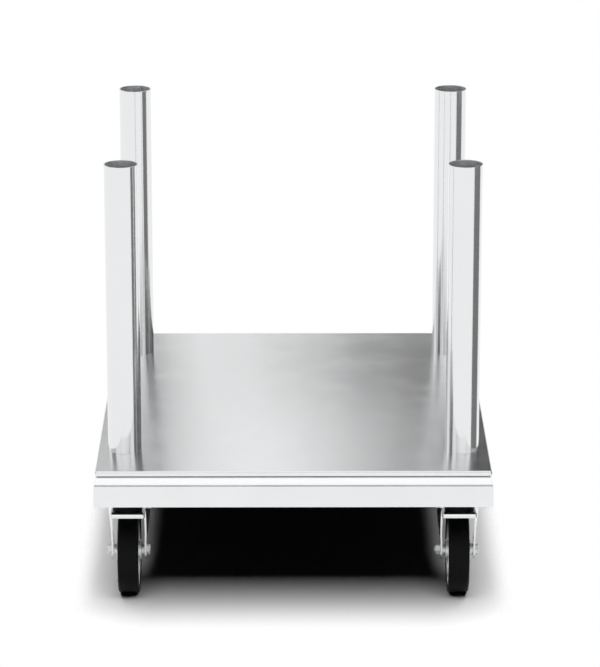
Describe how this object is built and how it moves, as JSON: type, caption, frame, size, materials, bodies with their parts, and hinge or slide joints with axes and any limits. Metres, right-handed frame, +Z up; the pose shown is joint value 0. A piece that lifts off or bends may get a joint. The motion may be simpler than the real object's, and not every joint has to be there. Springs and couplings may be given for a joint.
{
  "type": "popcorn cart trolley base",
  "caption": "Rectangular stainless trolley base for a popcorn cart: folded skirted deck on swivel casters, with open round posts standing near the corners.",
  "frame": {"origin": "on the floor, under the middle of the deck", "axes": "+Z up, the front edge faces -Y, +X to the right seen from the front"},
  "size_m": [0.563, 0.693, 0.636],
  "materials": {
    "satin_stainless": "fine satin brushed stainless sheet",
    "polished_stainless": "polished stainless tube",
    "mill_stainless": "mill-finish stainless, unpolished",
    "zinc_plated_steel": "bright zinc plate on pressed steel",
    "fastener_steel": "bright turned steel",
    "wheel_core_steel": "silver-grey pressed steel core",
    "tyre_rubber": "smooth solid black rubber, no tread"
  },
  "bodies": {
    "base": {"deck_pan": "satin_stainless", "rail_front": "satin_stainless", "rail_rear": "satin_stainless", "rail_left": "satin_stainless", "rail_right": "satin_stainless", "cross_channel_front": "mill_stainless", "cross_channel_rear": "mill_stainless", "post_plugs": "mill_stainless", "post_washers": "fastener_steel", "post_bolts": "fastener_steel", "caster_screws": "fastener_steel", "caster_nuts": "fastener_steel", "corner_plate_front_left": "mill_stainless", "post_front_left": "polished_stainless", "caster_front_left_plate": "zinc_plated_steel", "caster_front_left_kingpin": "fastener_steel", "corner_plate_front_right": "mill_stainless", "post_front_right": "polished_stainless", "caster_front_right_plate": "zinc_plated_steel", "caster_front_right_kingpin": "fastener_steel", "corner_plate_rear_left": "mill_stainless", "post_rear_left": "polished_stainless", "caster_rear_left_plate": "zinc_plated_steel", "caster_rear_left_kingpin": "fastener_steel", "corner_plate_rear_right": "mill_stainless", "post_rear_right": "polished_stainless", "caster_rear_right_plate": "zinc_plated_steel", "caster_rear_right_kingpin": "fastener_steel"},
    "caster_front_left_swivel": {"caster_front_left_fork": "zinc_plated_steel", "caster_front_left_axle_bolt": "fastener_steel", "caster_front_left_axle_nut": "fastener_steel", "caster_front_left_sleeves": "fastener_steel"},
    "caster_front_left_wheel": {"caster_front_left_wheel_hub": "wheel_core_steel", "caster_front_left_wheel_disc": "wheel_core_steel", "caster_front_left_wheel_rim": "wheel_core_steel", "caster_front_left_tyre": "tyre_rubber"},
    "caster_front_right_swivel": {"caster_front_right_fork": "zinc_plated_steel", "caster_front_right_axle_bolt": "fastener_steel", "caster_front_right_axle_nut": "fastener_steel", "caster_front_right_sleeves": "fastener_steel"},
    "caster_front_right_wheel": {"caster_front_right_wheel_hub": "wheel_core_steel", "caster_front_right_wheel_disc": "wheel_core_steel", "caster_front_right_wheel_rim": "wheel_core_steel", "caster_front_right_tyre": "tyre_rubber"},
    "caster_rear_left_swivel": {"caster_rear_left_fork": "zinc_plated_steel", "caster_rear_left_axle_bolt": "fastener_steel", "caster_rear_left_axle_nut": "fastener_steel", "caster_rear_left_sleeves": "fastener_steel"},
    "caster_rear_left_wheel": {"caster_rear_left_wheel_hub": "wheel_core_steel", "caster_rear_left_wheel_disc": "wheel_core_steel", "caster_rear_left_wheel_rim": "wheel_core_steel", "caster_rear_left_tyre": "tyre_rubber"},
    "caster_rear_right_swivel": {"caster_rear_right_fork": "zinc_plated_steel", "caster_rear_right_axle_bolt": "fastener_steel", "caster_rear_right_axle_nut": "fastener_steel", "caster_rear_right_sleeves": "fastener_steel"},
    "caster_rear_right_wheel": {"caster_rear_right_wheel_hub": "wheel_core_steel", "caster_rear_right_wheel_disc": "wheel_core_steel", "caster_rear_right_wheel_rim": "wheel_core_steel", "caster_rear_right_tyre": "tyre_rubber"}
  },
  "joints": [
    {"name": "caster_front_left_swivel_turn", "type": "hinge", "parent": "base", "child": "caster_front_left_swivel", "pos_m": [-0.237, -0.279, 0.139], "axis": [0, 0, 1], "continuous": true},
    {"name": "caster_front_left_wheel_roll", "type": "hinge", "parent": "caster_front_left_swivel", "child": "caster_front_left_wheel", "pos_m": [-0.237, -0.241, 0.0625], "axis": [1, 0, 0], "continuous": true},
    {"name": "caster_front_right_swivel_turn", "type": "hinge", "parent": "base", "child": "caster_front_right_swivel", "pos_m": [0.237, -0.279, 0.139], "axis": [0, 0, 1], "continuous": true},
    {"name": "caster_front_right_wheel_roll", "type": "hinge", "parent": "caster_front_right_swivel", "child": "caster_front_right_wheel", "pos_m": [0.237, -0.241, 0.0625], "axis": [1, 0, 0], "continuous": true},
    {"name": "caster_rear_left_swivel_turn", "type": "hinge", "parent": "base", "child": "caster_rear_left_swivel", "pos_m": [-0.237, 0.279, 0.139], "axis": [0, 0, 1], "continuous": true},
    {"name": "caster_rear_left_wheel_roll", "type": "hinge", "parent": "caster_rear_left_swivel", "child": "caster_rear_left_wheel", "pos_m": [-0.237, 0.241, 0.0625], "axis": [1, 0, 0], "continuous": true},
    {"name": "caster_rear_right_swivel_turn", "type": "hinge", "parent": "base", "child": "caster_rear_right_swivel", "pos_m": [0.237, 0.279, 0.139], "axis": [0, 0, 1], "continuous": true},
    {"name": "caster_rear_right_wheel_roll", "type": "hinge", "parent": "caster_rear_right_swivel", "child": "caster_rear_right_wheel", "pos_m": [0.237, 0.241, 0.0625], "axis": [1, 0, 0], "continuous": true}
  ]
}
